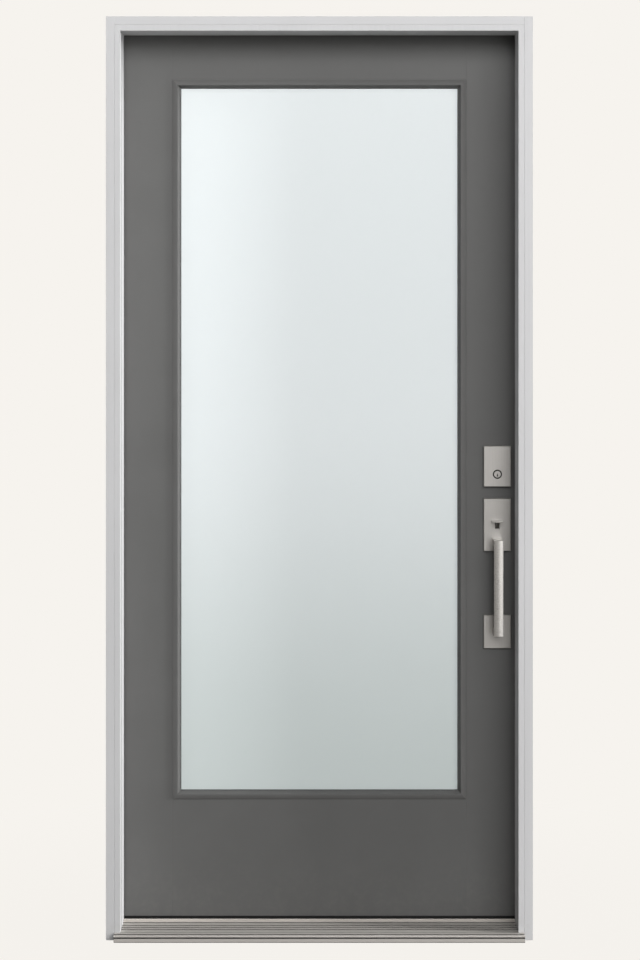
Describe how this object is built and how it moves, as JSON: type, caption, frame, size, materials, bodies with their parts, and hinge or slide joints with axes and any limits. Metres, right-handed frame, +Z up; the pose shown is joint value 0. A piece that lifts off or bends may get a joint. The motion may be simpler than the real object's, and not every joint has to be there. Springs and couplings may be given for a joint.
{
  "type": "full lite entry door",
  "caption": "Prehung inswing entry door with one full-height frosted lite, rabbeted jambs, low sill and a pull handle with thumb latch and deadbolt.",
  "frame": {"origin": "middle of the flat underside of the sill, half way through the jamb depth", "axes": "+Z up, +Y into the house, +X to the right seen from outside, towards the lock"},
  "size_m": [0.9524, 0.2518, 2.061],
  "materials": {
    "frame_paint": "satin light grey paint",
    "sill_composite": "dull composite",
    "sill_aluminium": "mill finish, ribbed",
    "sill_cap_finish": "dull warm grey composite",
    "seal": "soft foam and vinyl",
    "slab_paint": "smooth dark grey satin paint",
    "slab_edge": "painted dark grey edges",
    "moulding_paint": "dark grey moulded lip",
    "frosted_glass": "obscure satin-etched",
    "clear_glass": "clear",
    "spacer_metal": "dull folded metal",
    "satin_nickel": "satin brushed nickel"
  },
  "bodies": {
    "frame": {"hinge_jamb": "frame_paint", "strike_jamb": "frame_paint", "head_jamb": "frame_paint", "door_stops": "frame_paint", "sill_substrate": "sill_composite", "sill_deck": "sill_aluminium", "sill_cap": "sill_cap_finish", "weatherstrip": "seal", "latch_strike_plate": "satin_nickel", "deadbolt_strike_plate": "satin_nickel", "upper_hinge_frame_leaf": "satin_nickel", "middle_hinge_frame_leaf": "satin_nickel", "lower_hinge_frame_leaf": "satin_nickel", "hinge_pins": "satin_nickel"},
    "door": {"exterior_skin": "slab_paint", "interior_skin": "slab_paint", "hinge_stile": "slab_edge", "lock_stile": "slab_edge", "top_rail": "slab_edge", "bottom_rail": "slab_edge", "exterior_lite_frame": "moulding_paint", "interior_lite_frame": "moulding_paint", "exterior_glass": "frosted_glass", "interior_glass": "clear_glass", "glass_spacer": "spacer_metal", "door_sweep": "seal", "upper_hinge_door_leaf": "satin_nickel", "middle_hinge_door_leaf": "satin_nickel", "lower_hinge_door_leaf": "satin_nickel", "deadbolt_plate": "satin_nickel", "deadbolt_cylinder": "satin_nickel", "upper_handle_plate": "satin_nickel", "lower_handle_plate": "satin_nickel", "pull_handle": "satin_nickel", "thumbturn_plate": "satin_nickel", "thumbturn": "satin_nickel", "lever_plate": "satin_nickel", "interior_lever": "satin_nickel", "latch_faceplate": "satin_nickel", "latch_bolt": "satin_nickel", "deadbolt_faceplate": "satin_nickel", "deadbolt_bolt": "satin_nickel"},
    "thumb_latch": {"thumb_piece": "satin_nickel"},
    "key_plug": {"key_plug": "satin_nickel"}
  },
  "joints": [
    {"name": "door_swing", "type": "hinge", "parent": "frame", "child": "door", "pos_m": [-0.4547, 0.09135, 1], "axis": [0, 0, 1], "range_deg": [0, 110]},
    {"name": "thumb_press", "type": "hinge", "parent": "door", "child": "thumb_latch", "pos_m": [0.4047, 0.0343, 0.914], "axis": [1, 0, 0], "range_deg": [0, 15], "stiffness_Nm_per_rad": 0.5, "springref_deg": -5.73},
    {"name": "key_plug_turn", "type": "hinge", "parent": "door", "child": "key_plug", "pos_m": [0.4047, 0.03, 1.0317], "axis": [0, 1, 0], "range_deg": [-90, 90]}
  ]
}
